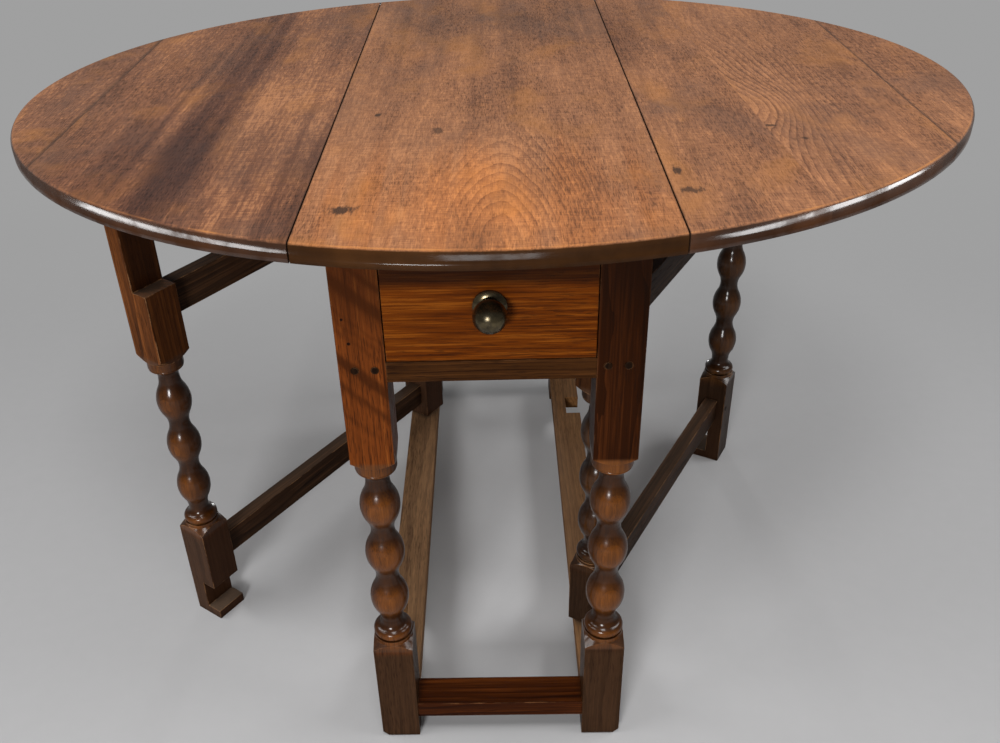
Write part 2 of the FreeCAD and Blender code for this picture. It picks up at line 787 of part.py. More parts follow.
def drawer_front():
    """Front with the sockets of the lapped dovetails, the groove for the bottom and the knob's bore."""
    levels = (drawer_low, drawer_high)
    front = block((-drawer_half_width, drawer_half_width, drawer_face_y, drawer_shoulder_y, *levels))
    tails = [drawer_tail(i) for i in range(tail_count)]
    sockets = tails + [tail.mirror(ORIGIN, ALONG_X) for tail in tails]
    bore_start = V(0, drawer_face_y, knob_level)
    bore = cylinder(spindle_diameter + 2 * fit_clearance, bore_start, ALONG_Y, drawer_front_thickness)
    return one(front.cut(sockets + [block(grown(drawer_bottom_limits(), fit_clearance)), bore]))


def on_drawer_front(shape):
    """Carry a piece turned about Z onto the drawer front, pointing at the user."""
    shape.rotate(ORIGIN, ALONG_X, 90)
    shape.translate(V(0, drawer_face_y, knob_level))
    return shape


def turned_about_axis(edges):
    return one(Part.Face(Part.Wire(Part.__sortEdges__(edges))).revolve(ORIGIN, UP, 360))


def knob_rose():
    """Domed plate behind the knob, bored for the spindle."""
    bore = spindle_diameter / 2 + fit_clearance
    rim, crown = rose_diameter / 2, knob_neck_diameter / 2
    shoulder = ((rim + crown) / 2 + rose_rim / 2, rose_rim + rose_dome_share * (rose_height - rose_rim))
    edges = polyline([(crown, rose_height), (bore, rose_height), (bore, 0), (rim, 0), (rim, rose_rim)])
    edges.append(arc((rim, rose_rim), shoulder, (crown, rose_height)))
    return on_drawer_front(turned_about_axis(edges))


def knob_ball():
    """Ball on a short neck, bored for the spindle."""
    radius, neck = knob_ball_diameter / 2, knob_neck_diameter / 2
    join = knob_ball_reach - math.sqrt(radius ** 2 - neck ** 2)
    bore = spindle_diameter / 2 + fit_clearance
    bore_end = rose_height + spindle_grip + fit_clearance
    crown = knob_ball_reach + radius
    edges = polyline([(0, crown), (0, bore_end), (bore, bore_end), (bore, rose_height)])
    edges += polyline([(bore, rose_height), (neck, rose_height), (neck, join)])
    edges.append(arc((neck, join), (radius, knob_ball_reach), (0, crown)))
    return on_drawer_front(turned_about_axis(edges))


def knob_spindle():
    tail = drawer_front_thickness + nut_thickness + spindle_tail
    rod = cylinder(spindle_diameter, V(0, 0, -tail), UP, tail + rose_height + spindle_grip)
    return on_drawer_front(rod)


def knob_nut():
    """Square nut inside the drawer."""
    levels = (-drawer_front_thickness - nut_thickness, -drawer_front_thickness)
    nut = block((*band(0, nut_square), *band(0, nut_square), *levels))
    bore = cylinder(spindle_diameter + 2 * fit_clearance, V(0, 0, levels[0]), UP, nut_thickness)
    return on_drawer_front(one(nut.cut(bore)))


def make_drawer():
    side = drawer_side()
    keep("drawer_front", [drawer_front()])
    keep("drawer_right_side", [side])
    keep("drawer_left_side", [side.mirror(ORIGIN, ALONG_X)])
    keep("drawer_back", [block(drawer_back_limits())])
    keep("drawer_bottom", [block(drawer_bottom_limits())])
    keep("knob_rose", [knob_rose()])
    keep("drawer_knob", [knob_ball()])
    keep("knob_spindle", [knob_spindle()])
    keep("knob_nut", [knob_nut()])


make_top()
make_hinges()
make_frame()
make_gate("left", -1, left_gate_angle)
make_gate("right", 1, right_gate_angle)
make_drawer()

os.makedirs("parts", exist_ok=True)
for name, solids in nodes.items():
    shape = solids[0] if len(solids) == 1 else Part.makeCompound(solids)
    shape.exportStep("parts/%s.step" % name)
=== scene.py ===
import bpy
import math
from mathutils import Matrix, Quaternion, Vector


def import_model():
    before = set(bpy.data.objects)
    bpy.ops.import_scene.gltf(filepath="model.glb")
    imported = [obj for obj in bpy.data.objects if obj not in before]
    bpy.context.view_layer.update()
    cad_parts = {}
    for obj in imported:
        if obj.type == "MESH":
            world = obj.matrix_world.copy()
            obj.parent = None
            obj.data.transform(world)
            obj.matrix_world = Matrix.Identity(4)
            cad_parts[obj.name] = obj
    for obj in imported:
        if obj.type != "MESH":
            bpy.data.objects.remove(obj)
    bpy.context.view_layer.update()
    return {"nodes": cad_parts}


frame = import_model()
nodes = frame["nodes"]

# Camera at the photograph's view, in metres, radians and pixels
PHOTO_SIZE = (1000, 743)
CAMERA_PLACE = (0.00739, -1.22823, 1.07747)
CAMERA_YAW = -0.02755
CAMERA_PITCH = 0.57428
CAMERA_ROLL = -0.03563
FOCAL_PIXELS = 993.1
CENTRE_OFFSET = (-23.9, 7.6)

# Table sizes that the finishes follow, in metres and radians
LEAF_JOINT = 0.1713
OUTER_JOINT = 0.472
LEG_X = 0.127
LEG_Y = 0.3815
GATE_PIVOT_Y = 0.254
GATE_LENGTH = 0.508
LEFT_GATE_ANGLE = math.radians(34.4)
RIGHT_GATE_ANGLE = math.radians(29.5)
LATHE_START = (0.153, 0.158)
LATHE_END = (0.443, 0.437)
TURNED_RADIUS = 0.0227
NECK_RADIUS = 0.0135
TOP_HALF = (0.563, 0.481)
TOP_BOTTOM = 0.70
TOP_THICKNESS = 0.02

# Widths of softened edges, in metres
CRISP_EDGE = 0.001
EASED_EDGE = 0.0012
ROUNDED_EDGE = 0.0015


class Graph:
    """Small helper that adds and links the nodes of one material."""

    def __init__(self, name):
        self.material = bpy.data.materials.new(name)
        self.material.use_nodes = True
        self.tree = self.material.node_tree
        self.tree.nodes.clear()
        self.output = self.tree.nodes.new("ShaderNodeOutputMaterial")

    def put(self, socket, value):
        """Link a socket, or set a plain value on it."""
        if isinstance(value, bpy.types.NodeSocket):
            self.tree.links.new(value, socket)
        elif value is not None:
            socket.default_value = value

    def node(self, kind, inputs=None, **settings):
        """Add a node with its settings and inputs."""
        item = self.tree.nodes.new("ShaderNode" + kind)
        for key, value in settings.items():
            setattr(item, key, value)
        for key, value in (inputs or {}).items():
            self.put(item.inputs[key], value)
        return item

    def math(self, operation, a, b=None, c=None, clamp=False):
        item = self.node("Math", operation=operation, use_clamp=clamp)
        for socket, value in zip(item.inputs, (a, b, c)):
            self.put(socket, value)
        return item.outputs[0]

    def vector(self, operation, a, b=None):
        item = self.node("VectorMath", operation=operation)
        self.put(item.inputs[0], a)
        self.put(item.inputs[1], b)
        return item.outputs["Value" if operation in ("LENGTH", "DOT_PRODUCT", "DISTANCE") else "Vector"]

    def ramp(self, value, low, high, start=0.0, end=1.0):
        """Smooth step from one value to another."""
        item = self.node("MapRange", interpolation_type="SMOOTHSTEP")
        for key, number in (("Value", value), (1, low), (2, high), (3, start), (4, end)):
            self.put(item.inputs[key], number)
        return item.outputs[0]

    def noise(self, vector, scale, detail=3.0, roughness=0.55, distortion=0.0):
        return self.node("TexNoise", {
            "Vector": vector, "Scale": scale, "Detail": detail, "Roughness": roughness,
            "Distortion": distortion,
        }).outputs["Fac"]

    def mix(self, factor, a, b, blend="MIX"):
        item = self.node("Mix", data_type="RGBA", blend_type=blend)
        self.put(item.inputs["Factor"], factor)
        self.put(item.inputs["A"], opaque(a))
        self.put(item.inputs["B"], opaque(b))
        return item.outputs["Result"]

    def scaled(self, vector, scale, place=(0, 0, 0), turn=(0, 0, 0)):
        inputs = {"Vector": vector, "Location": place, "Rotation": turn, "Scale": scale}
        return self.node("Mapping", inputs, vector_type="POINT").outputs[0]

    def part(self, vector, axis):
        """One axis of a vector."""
        return self.node("SeparateXYZ", {"Vector": vector}).outputs[axis]

    def along(self, axis, value):
        """Vector with a value on one axis."""
        return self.node("CombineXYZ", {axis: value}).outputs[0]

    def centred(self, noise, factor):
        """A noise made to vary about zero."""
        return self.math("MULTIPLY", self.math("SUBTRACT", noise, 0.5), factor)

    def hollow(self, reach):
        """Openness of the surface, low where other surfaces are within reach."""
        return self.node("AmbientOcclusion", {"Distance": reach}, samples=6).outputs["AO"]

    def blended(self, factor, a, b):
        """Blend of two directions."""
        return self.node("Mix", {"Factor": factor, 4: a, 5: b}, data_type="VECTOR").outputs[1]


def opaque(colour):
    """RGBA of a plain RGB colour; sockets pass through."""
    if isinstance(colour, (tuple, list)) and len(colour) == 3:
        return (*colour, 1.0)
    return colour


def grain_frame(direction):
    """Rotation that carries a grain direction onto local Y."""
    y_axis = Vector(direction).normalized()
    side = Vector((0, 0, 1)) if abs(y_axis.z) < 0.9 else Vector((1, 0, 0))
    x_axis = y_axis.cross(side).normalized()
    z_axis = x_axis.cross(y_axis)
    return Matrix((x_axis, y_axis, z_axis)).to_euler()


# Settings of the oak, each of which a piece may change
WOOD = {
    # Grain
    "grain": (0, 1, 0),
    "seed": (0.0, 0.0, 0.0),
    "pith": (0.0, -0.12),
    "rings": 90.0,
    "ring_strength": 0.45,
    "ring_warp": 0.9,
    "ring_focus": None,
    "knots": (),
    "fine": 520.0,
    "fleck": 9.0,
    "streak": 0.6,
    "line": 0.6,
    "patch": 0.5,
    "rays": 0.0,
    "pores": 0.7,
    "pore_size": (900, 55),
    # Colour
    "dark": (0.10, 0.035, 0.012),
    "mid": (0.25, 0.10, 0.04),
    "light": (0.36, 0.17, 0.08),
    "pore": (0.045, 0.018, 0.008),
    "glow": 0.0,
    "glow_colour": (0.42, 0.17, 0.05),
    "mottle": 0.0,
    "mottle_colour": (0.16, 0.085, 0.05),
    # Turned legs
    "turned": None,
    "amber": ((0.011, 0.0036, 0.001), (0.15, 0.046, 0.0055)),
    "lathe_coat": 0.3,
    "foot": (0.038, 0.0175, 0.008),
    # Edge of the top
    "rim": None,
    "rim_coat": 0.9,
    # Marks of age, with painted shade on flanks and in hollows and a painted shadow under the top
    "stains": (),
    "streaks": (),
    "seams": (),
    "holes": (),
    "bands": None,
    "painted_flank_shade": None,
    "painted_top_shadow": None,
    "dust": 0.0,
    "grime_and_shade": 0.6,
    "grime_and_shade_reach": 0.014,
    "worn_edges": True,
    "edge_wear": 0.35,
    "wear_colour": (0.42, 0.22, 0.10),
    # Gloss
    "rough": 0.36,
    "rough_spread": 0.14,
    "specular": 0.3,
    "coat": 0.25,
    "coat_rough": 0.16,
    "bump": 0.25,
}

# Scales of the oak's noises: across, along and through the grain, per metre
WANDER_SCALE = (5, 1.4, 5)
FINE_WANDER_SCALE = (38, 5, 38)
STREAK_SCALE = (46, 0.9, 46)
PATCH_SCALE = (9, 2.6, 9)
RAY_SCALE = (70, 480, 70)
GLOW_SCALE = (13, 7, 13)
GLOW_SHIFT = (3.1, 1.7, 0.4)
CLOUD_SCALE = (6, 4, 6)
BLOTCH_SCALE = (120, 40, 120)
RUB_SCALE = (70, 30, 70)
SMEAR_SCALE = (24, 11, 24)
BAND_SCALE = 60.0

# Levels and lengths of the oak's finish, in metres
FOOT_FADE = (0.17, 0.145)
BANDS_START = (0.44, 0.5)
WORN_EDGE_RADIUS = 0.0022
BUMP_DEPTH = 0.0008

# Other values of the oak's finish
DUST_COLOUR = (0.17, 0.125, 0.09)
# Direction of the front light painted onto the bobbins' amber
FRONT = (0.0, -1.0, 0.0)
KNOT_SLIMNESS = 0.45
# Tilt of the rim's shading: ends of each step as shares of the thickness, then radians
BULLNOSE = ((0.0, 0.6, -0.4, 0.76), (0.6, 0.92, 0.0, 0.14), (0.9, 1.0, 0.0, 0.45))


class Wood(Graph):
    """Old waxed oak, painted in layers from the grain up."""

    def __init__(self, name, changes):
        super().__init__(name)
        self.settings = dict(WOOD, **changes)
        spot = self.node("TexCoord").outputs
        self.place, self.facing = spot["Object"], spot["Normal"]
        self.height_above = self.part(self.place, "Z")
        turn = tuple(grain_frame(self.settings["grain"]))
        self.local = self.scaled(self.place, (1, 1, 1), self.settings["seed"], turn)
        self.normal = self.node("NewGeometry").outputs["Normal"]
        self.surface = self.normal
        self.lathe = 0.0
        self.coat, self.gloss = self.settings["coat"], self.settings["specular"]

    def paint(self, factor, colour, blend="MIX"):
        """Lay a colour over what is there."""
        self.colour = self.mix(factor, self.colour, colour, blend)

    def oval(self, x, y, across, along):
        """Distance from a spot on the board, 1 at the edge of an oval."""
        offset = self.vector("SUBTRACT", self.local, (x, y, 0.0))
        return self.vector("LENGTH", self.vector("MULTIPLY", offset, (1 / across, 1 / along, 0.0)))

    def ring_number(self):
        """Count of growth rings from a pith off the board, which flow about the knots."""
        s = self.settings
        wander = self.noise(self.scaled(self.local, WANDER_SCALE), 1.0, 2.0)
        fine_wander = self.noise(self.scaled(self.local, FINE_WANDER_SCALE), 1.0, 3.0)
        about = self.vector("SUBTRACT", self.local, (s["pith"][0], 0, s["pith"][1]))
        about = self.vector("MULTIPLY", about, (1, 0, 1))
        rings = self.math("MULTIPLY", self.vector("LENGTH", about), s["rings"])
        for x, y, size, count in s["knots"]:
            near = self.oval(x, y, size, size / KNOT_SLIMNESS)
            squared = self.math("MULTIPLY", near, near)
            fall = self.math("EXPONENT", self.math("MULTIPLY", squared, -1.0))
            rings = self.math("ADD", rings, self.math("MULTIPLY", fall, count))
        rings = self.math("ADD", rings, self.math("MULTIPLY", wander, 6 * s["ring_warp"]))
        return self.math("ADD", rings, self.math("MULTIPLY", fine_wander, 1.5 * s["ring_warp"]))

    def grain(self):
        """Rings, fibres, streaks, patches, rays and pores, and the colour that they give."""
        s, local = self.settings, self.local
        rings = self.ring_number()
        self.late = self.math("POWER", self.math("FRACT", rings), 2.2)
        ring_tone = self.noise(self.along("X", self.math("FLOOR", rings)), 0.73, 0.0)

        across, along = s["fine"], s["fleck"]
        self.fibre = self.noise(self.scaled(local, (across, along, across)), 1.0, 2.0, 0.6)
        coarse = (0.42 * across, 0.4 * along, 0.42 * across)
        line = self.noise(self.scaled(local, coarse), 1.0, 3.0, 0.65)
        self.streak = self.noise(self.scaled(local, STREAK_SCALE), 1.0, 3.0, 0.6)
        self.patch = self.noise(self.scaled(local, PATCH_SCALE), 1.0, 4.0, 0.6)
        across, along = s["pore_size"]
        pores = self.noise(self.scaled(local, (across, along, across)), 1.0, 1.0, 0.5)
        pores = self.math("SUBTRACT", pores, self.math("MULTIPLY", self.late, 0.05))
        crowding = self.ramp(self.patch, 0.6, 0.4, 0.3, 1.0)
        self.pore = self.math("MULTIPLY", self.ramp(pores, 0.53, 0.62), crowding)

        tone = self.math("ADD", self.centred(self.streak, 1.7 * s["streak"]), 0.5)
        tone = self.math("ADD", tone, self.centred(self.patch, 1.7 * s["patch"]))
        tone = self.math("ADD", tone, self.centred(self.fibre, 1.2 * s["line"]))
        tone = self.math("ADD", tone, self.centred(line, 2.2 * s["line"]))
        if s["rays"]:
            ray = self.noise(self.scaled(local, RAY_SCALE), 1.0, 3.0, 0.6, 0.5)
            tone = self.math("ADD", tone, self.centred(ray, s["rays"]))
        ring_dark = self.math("MULTIPLY", self.late, self.math("ADD", 0.45, ring_tone))
        figure = s["ring_strength"]
        if s["ring_focus"]:
            *oval, extra = s["ring_focus"]
            spread = self.math("ADD", self.oval(*oval), self.centred(self.patch, 1.0))
            figure = self.math("ADD", figure, self.ramp(spread, 1.1, 0.2, 0.0, extra))
        rings_shown = self.math("MULTIPLY", self.math("SUBTRACT", ring_dark, 0.4), figure)
        self.tone = self.math("SUBTRACT", tone, rings_shown)

        self.colour = self.mix(self.ramp(self.tone, 0.05, 0.5), s["dark"], s["mid"])
        self.paint(self.ramp(self.tone, 0.5, 1.0), s["light"])

    def turning(self):
        """Amber varnish on the bobbins, painted brighter on faces turned to the front as if lit from
        there, painted shade in their necks, and a dull square foot.
        """
        s = self.settings
        x, y = s["turned"]
        below = self.ramp(self.height_above, *LATHE_END)
        self.lathe = self.math("MULTIPLY", self.ramp(self.height_above, *LATHE_START), below)
        fine_shade = self.math("MULTIPLY", self.tone, 0.3)
        shade = self.math("ADD", self.math("MULTIPLY", self.patch, 0.7), fine_shade)
        # Painted light: the amber is brighter on faces turned to the front
        front_light_share = self.ramp(self.vector("DOT_PRODUCT", self.facing, FRONT), 0.45, 1.0, 0.3, 1.0)
        amber_tone_and_front_light = self.math("MULTIPLY", self.ramp(shade, 0.1, 0.8), front_light_share)
        self.paint(self.math("MULTIPLY", self.lathe, 0.9), self.mix(amber_tone_and_front_light, *s["amber"]))
        flat = self.vector("SUBTRACT", self.place, (x, y, 0.0))
        flat = self.vector("MULTIPLY", flat, (1.0, 1.0, 0.0))
        # Painted shade in the necks: darker where the turning is thin
        neck_shade = self.ramp(self.vector("LENGTH", flat), NECK_RADIUS, TURNED_RADIUS, 0.8, 0.0)
        self.paint(neck_shade, s["amber"][0])
        dull = tuple(0.65 * c for c in s["foot"])
        pale = tuple(1.25 * c for c in s["foot"])
        foot = self.mix(self.ramp(self.tone, 0.0, 1.0), dull, pale)
        self.paint(self.ramp(self.height_above, *FOOT_FADE), foot)
        self.coat = self.math("ADD", s["coat"], self.math("MULTIPLY", self.lathe, s["lathe_coat"]))

    def tints(self):
        """Painted shade on one flank, a painted shadow under the top, dark pores, warm patches and
        clouds.
        """
        s = self.settings
        # Painted shade: faces turned toward the given direction are darker
        if s["painted_flank_shade"]:
            toward, strength = s["painted_flank_shade"]
            flank = self.vector("DOT_PRODUCT", self.facing, toward)
            self.paint(self.ramp(flank, 0.5, 0.9, 0.0, strength), s["dark"])
        # Painted shadow of the top's overhang: darker towards the top
        if s["painted_top_shadow"]:
            start, end, strength = s["painted_top_shadow"]
            self.paint(self.ramp(self.height_above, start, end, 0.0, strength), s["pore"])
        self.paint(self.math("MULTIPLY", self.pore, s["pores"]), s["pore"])
        if s["glow"]:
            warm = self.noise(self.scaled(self.local, GLOW_SCALE, GLOW_SHIFT), 1.0, 4.0, 0.6, 0.4)
            self.paint(self.math("MULTIPLY", self.ramp(warm, 0.5, 0.72), s["glow"]), s["glow_colour"])
        if s["mottle"]:
            cloud = self.noise(self.scaled(self.local, CLOUD_SCALE), 1.0, 5.0, 0.62, 0.6)
            cloudy = self.math("MULTIPLY", self.ramp(cloud, 0.46, 0.68), s["mottle"])
            self.paint(cloudy, s["mottle_colour"])

    def marks(self):
        """Streaks, stains, dark seams, slanting bands and nail holes at their places."""
        s = self.settings
        blotch = self.noise(self.scaled(self.local, BLOTCH_SCALE), 1.0, 4.0, 0.7)
        for *oval, strength, tint in s["streaks"]:
            near = self.math("ADD", self.oval(*oval), self.centred(self.streak, 1.6))
            self.paint(self.math("MULTIPLY", self.ramp(near, 1.0, 0.1), strength), tint, "MULTIPLY")
        for *oval, strength in s["stains"]:
            near = self.math("ADD", self.oval(*oval), self.centred(blotch, 2.6))
            self.paint(self.math("MULTIPLY", self.ramp(near, 1.0, 0.45), strength), s["pore"])
        across = self.part(self.place, "X")
        for x, reach, strength in s["seams"]:
            near = self.math("ABSOLUTE", self.math("SUBTRACT", across, x))
            near = self.math("ADD", near, self.centred(blotch, 0.9 * reach))
            self.paint(self.ramp(near, reach, 0.0, 0.0, strength), s["pore"])
        if s["bands"]:
            direction, strength = s["bands"]
            wave = self.vector("DOT_PRODUCT", self.place, direction)
            wave = self.math("ADD", wave, self.math("MULTIPLY", self.patch, 0.035))
            wave = self.noise(self.along("X", self.math("MULTIPLY", wave, BAND_SCALE)), 1.0, 1.0)
            banded = self.ramp(wave, 0.42, 0.68, 0.0, strength)
            banded = self.math("MULTIPLY", banded, self.ramp(self.height_above, *BANDS_START))
            self.paint(banded, s["dark"])
        for x, y, z, size in s["holes"]:
            near = self.vector("DISTANCE", self.place, (x, y, z))
            self.paint(self.ramp(near, size, 0.6 * size), s["pore"])

    def wear(self):
        """Grime and painted shade in the hollows, rubbed edges and dust on what faces up."""
        s = self.settings
        # Darker where other surfaces are near: grime, and painted shade in the hollows
        hollow = self.hollow(s["grime_and_shade_reach"])
        self.grime_and_shade = self.math("MULTIPLY", self.ramp(hollow, 0.85, 0.35), s["grime_and_shade"])
        self.paint(self.grime_and_shade, s["pore"])
        if s["worn_edges"]:
            rounded = self.node("Bevel", {"Radius": WORN_EDGE_RADIUS}, samples=4).outputs[0]
            edge = self.math("SUBTRACT", 1.0, self.vector("DOT_PRODUCT", rounded, self.normal))
            rub = self.noise(self.scaled(self.local, RUB_SCALE), 1.0, 4.0, 0.65)
            rubbed = self.math("MULTIPLY", self.ramp(edge, 0.02, 0.2), self.ramp(rub, 0.42, 0.62))
            self.paint(self.math("MULTIPLY", rubbed, s["edge_wear"]), s["wear_colour"])
            self.surface = self.blended(self.lathe, rounded, self.normal)
        if s["dust"]:
            patchy = self.ramp(self.patch, 0.3, 0.7, 0.55, 1.0)
            film = self.math("MULTIPLY", self.ramp(self.part(self.normal, "Z"), 0.5, 0.95), patchy)
            film = self.math("MULTIPLY", film, self.math("SUBTRACT", 1.0, self.lathe))
            self.paint(self.math("MULTIPLY", film, s["dust"]), DUST_COLOUR)

    def rim(self):
        """Dark glossy edge of the top, shaded as a bullnose, with a painted golden highlight along its
        worn upper arris.
        """
        s = self.settings
        upward = self.part(self.normal, "Z")
        oval = tuple(1 / size ** 2 for size in TOP_HALF)
        outward = self.vector("NORMALIZE", self.vector("MULTIPLY", self.place, (*oval, 0.0)))
        facing_out = self.ramp(self.vector("DOT_PRODUCT", self.normal, outward), 0.0, 0.3)
        self.side = self.math("MULTIPLY", self.ramp(upward, 0.97, 0.62), facing_out)
        bright = tuple(2.2 * c for c in s["rim"])
        self.paint(self.side, self.mix(self.ramp(self.patch, 0.35, 0.65), s["rim"], bright))
        # Painted highlight: a golden line along the upper arris, where the wood is also worn
        arris_highlight = self.math("MULTIPLY", self.ramp(upward, 0.86, 0.94), self.ramp(upward, 0.99, 0.95))
        arris_highlight = self.math("MULTIPLY", arris_highlight, self.ramp(self.patch, 0.42, 0.6, 0.0, 0.8))
        self.paint(arris_highlight, s["glow_colour"])

        polish = self.ramp(self.smear, 0.36, 0.54, 0.3 * s["rim_coat"], s["rim_coat"])
        self.coat = self.math("MULTIPLY", self.side, polish)
        dulled = self.math("MULTIPLY", self.side, 0.9 * s["specular"])
        self.gloss = self.math("SUBTRACT", s["specular"], dulled)
        rise = self.math("SUBTRACT", self.height_above, TOP_BOTTOM)
        rise = self.math("DIVIDE", rise, TOP_THICKNESS)
        tilt = 0.0
        for step in BULLNOSE:
            tilt = self.math("ADD", tilt, self.ramp(rise, *step))
        flank = self.node(
            "VectorMath", {0: outward, "Scale": self.math("COSINE", tilt)}, operation="SCALE").outputs[0]
        bullnose = self.vector("ADD", flank, self.along("Z", self.math("SINE", tilt)))
        turn = self.math("MULTIPLY", self.ramp(upward, 0.995, 0.9), facing_out)
        self.surface = self.blended(turn, self.normal, bullnose)

    def shade(self):
        """Roughness, relief and the shader itself."""
        s = self.settings
        rough = self.math("ADD", s["rough"], self.centred(self.smear, 2 * s["rough_spread"]))
        rough = self.math("ADD", rough, self.math("MULTIPLY", self.pore, 0.2))
        rough = self.math("ADD", rough, self.math("MULTIPLY", self.grime_and_shade, 0.3), None, True)
        pits = self.math("MULTIPLY", self.pore, 0.9)
        height = self.math("SUBTRACT", self.math("MULTIPLY", self.fibre, 0.5), pits)
        height = self.math("ADD", height, self.math("MULTIPLY", self.smear, 0.8))
        height = self.math("ADD", height, self.math("MULTIPLY", self.late, 0.25))
        if s["rim"]:
            smooth = self.math("SUBTRACT", 1.0, self.math("MULTIPLY", self.side, 0.9))
            height = self.math("MULTIPLY", height, smooth)
        bump = self.node("Bump", {
            "Strength": s["bump"], "Distance": BUMP_DEPTH, "Height": height, "Normal": self.surface,
        })
        shader = self.node("BsdfPrincipled", {
            "Base Color": self.colour, "Roughness": rough, "Normal": bump.outputs[0], "IOR": 1.5,
            "Specular IOR Level": self.gloss, "Coat Weight": self.coat,
            "Coat Roughness": s["coat_rough"], "Coat Normal": self.surface,
        })
        self.put(self.output.inputs["Surface"], shader.outputs[0])


def wood(name, **changes):
    """Material of old waxed oak with some settings changed."""
    oak = Wood(name, changes)
    oak.grain()
    if oak.settings["turned"]:
        oak.turning()
    oak.tints()
    oak.marks()
    oak.wear()
    oak.smear = oak.noise(oak.scaled(oak.local, SMEAR_SCALE), 1.0, 5.0, 0.65)
    if oak.settings["rim"]:
        oak.rim()
    oak.shade()
    return oak.material


# Scales of the metal's noises, per metre, and its lengths in metres
TARNISH_SCALE = 90.0
SPECK_SCALE = 600.0
SCRATCH_SCALE = (1800, 1800, 120)
METAL_GRIME_REACH = 0.008
METAL_BUMP_DEPTH = 0.0003


def metal(name, bright, dull, dark, rough, tarnish):
    """Old metal with tarnish in patches, dirt in the hollows and fine scratches."""
    g = Graph(name)
    place = g.node("TexCoord").outputs["Object"]
    patches = g.noise(place, TARNISH_SCALE, 5.0, 0.65)
    specks = g.noise(place, SPECK_SCALE, 3.0, 0.6)
    scratches = g.noise(g.scaled(place, SCRATCH_SCALE), 1.0, 2.0)
    film = g.math("MULTIPLY", g.ramp(patches, 0.32, 0.66), tarnish)
    colour = g.mix(film, bright, dull)
    colour = g.mix(g.ramp(specks, 0.58, 0.75, 0.0, 0.7), colour, dark)
    colour = g.mix(g.ramp(g.hollow(METAL_GRIME_REACH), 0.8, 0.3, 0.0, 0.85), colour, dark)
    gloss = g.math("ADD", rough, g.centred(patches, 0.35))
    gloss = g.math("ADD", gloss, g.math("MULTIPLY", specks, 0.08), None, True)
    height = g.math("ADD", g.math("MULTIPLY", specks, 0.7), g.math("MULTIPLY", scratches, 0.3))
    normal = g.node("Bump", {"Strength": 0.2, "Distance": METAL_BUMP_DEPTH, "Height": height}).outputs[0]
    shader = g.node("BsdfPrincipled", {
        "Base Color": colour, "Metallic": 0.9, "Roughness": gloss, "Normal": normal,
    })
    g.put(g.output.inputs["Surface"], shader.outputs[0])
    return g.material


def dress(name, material, softening=0.0):
    """Give a CAD node its finish and, where asked, a small rounding of its edges."""
    item = nodes[name]
    item.data.materials.clear()
    item.data.materials.append(material)
    if softening:
        bevel = item.modifiers.new("softened_edges", "BEVEL")
        bevel.width = softening
        bevel.segments = 2
        bevel.limit_method = "ANGLE"
        bevel.angle_limit = math.radians(40)


# Finish of the top. Knots, stains and streaks lie at the board's X and Y plus its seed
TOP = {
    "dark": (0.15, 0.06, 0.028), "mid": (0.285, 0.12, 0.055), "light": (0.44, 0.192, 0.084),
    "pore": (0.04, 0.02, 0.012), "rim": (0.026, 0.0095, 0.0035),
    "rings": 150.0, "ring_strength": 0.2, "ring_warp": 0.6, "streak": 0.45, "line": 0.55, "patch": 0.9,
    "rays": 1.1, "fine": 680.0, "fleck": 110.0, "pores": 0.6, "pore_size": (800, 75),
    "mottle": 0.45, "mottle_colour": (0.13, 0.068, 0.046), "glow": 0.5,
    "grime_and_shade": 0.3, "grime_and_shade_reach": 0.006, "worn_edges": False,
    "rough": 0.5, "specular": 0.22, "coat_rough": 0.12,
}
JOINTS = ((-LEAF_JOINT, 0.0022, 0.95), (LEAF_JOINT, 0.0022, 0.95))
dress("centre_board", wood("oak_centre_board", **dict(
    TOP, rim=(0.02, 0.0075, 0.002), rim_coat=0.15, pith=(0.012, 0.66), rings=170.0, ring_strength=0.14,
    ring_warp=0.8, ring_focus=(0.03, -0.33, 0.1, 0.2, 0.5), seams=JOINTS,
    knots=((0.012, -0.47, 0.1, -10.0), (-0.1, 0.2, 0.05, 3.0)),
    streaks=((0.02, -0.38, 0.26, 0.2, 1.0, (1.36, 1.16, 0.84)),
             (0.0, 0.3, 0.3, 0.25, 0.5, (0.62, 0.66, 0.72))),
    stains=((-0.131, -0.389, 0.018, 0.012, 0.9), (-0.054, -0.18, 0.008, 0.012, 0.7),
            (-0.124, -0.12, 0.004, 0.006, 0.9)))))
dress("left_leaf_inner_board", wood("oak_left_leaf_inner", **dict(
    TOP, seed=(0.37, 0.6, 0.1), pith=(0.55, 0.75), seams=JOINTS + ((-OUTER_JOINT, 0.0016, 0.9),),
    dark=(0.12, 0.05, 0.026), mid=(0.225, 0.092, 0.045),
    streaks=((-0.31 + 0.37, 0.5, 0.06, 0.8, 0.9, (0.42, 0.40, 0.48)),
             (-0.18 + 0.37, 0.25, 0.03, 0.3, 0.7, (0.5, 0.47, 0.5)),
             (-0.33 + 0.37, 0.28, 0.2, 0.3, 0.95, (0.66, 0.62, 0.64))))))
dress("left_leaf_outer_board", wood("oak_left_leaf_outer", **dict(
    TOP, seed=(0.1, 0.2, 0.3), pith=(-0.7, 0.9), seams=((-OUTER_JOINT, 0.007, 0.7),),
    dark=(0.12, 0.05, 0.026), mid=(0.21, 0.088, 0.045))))
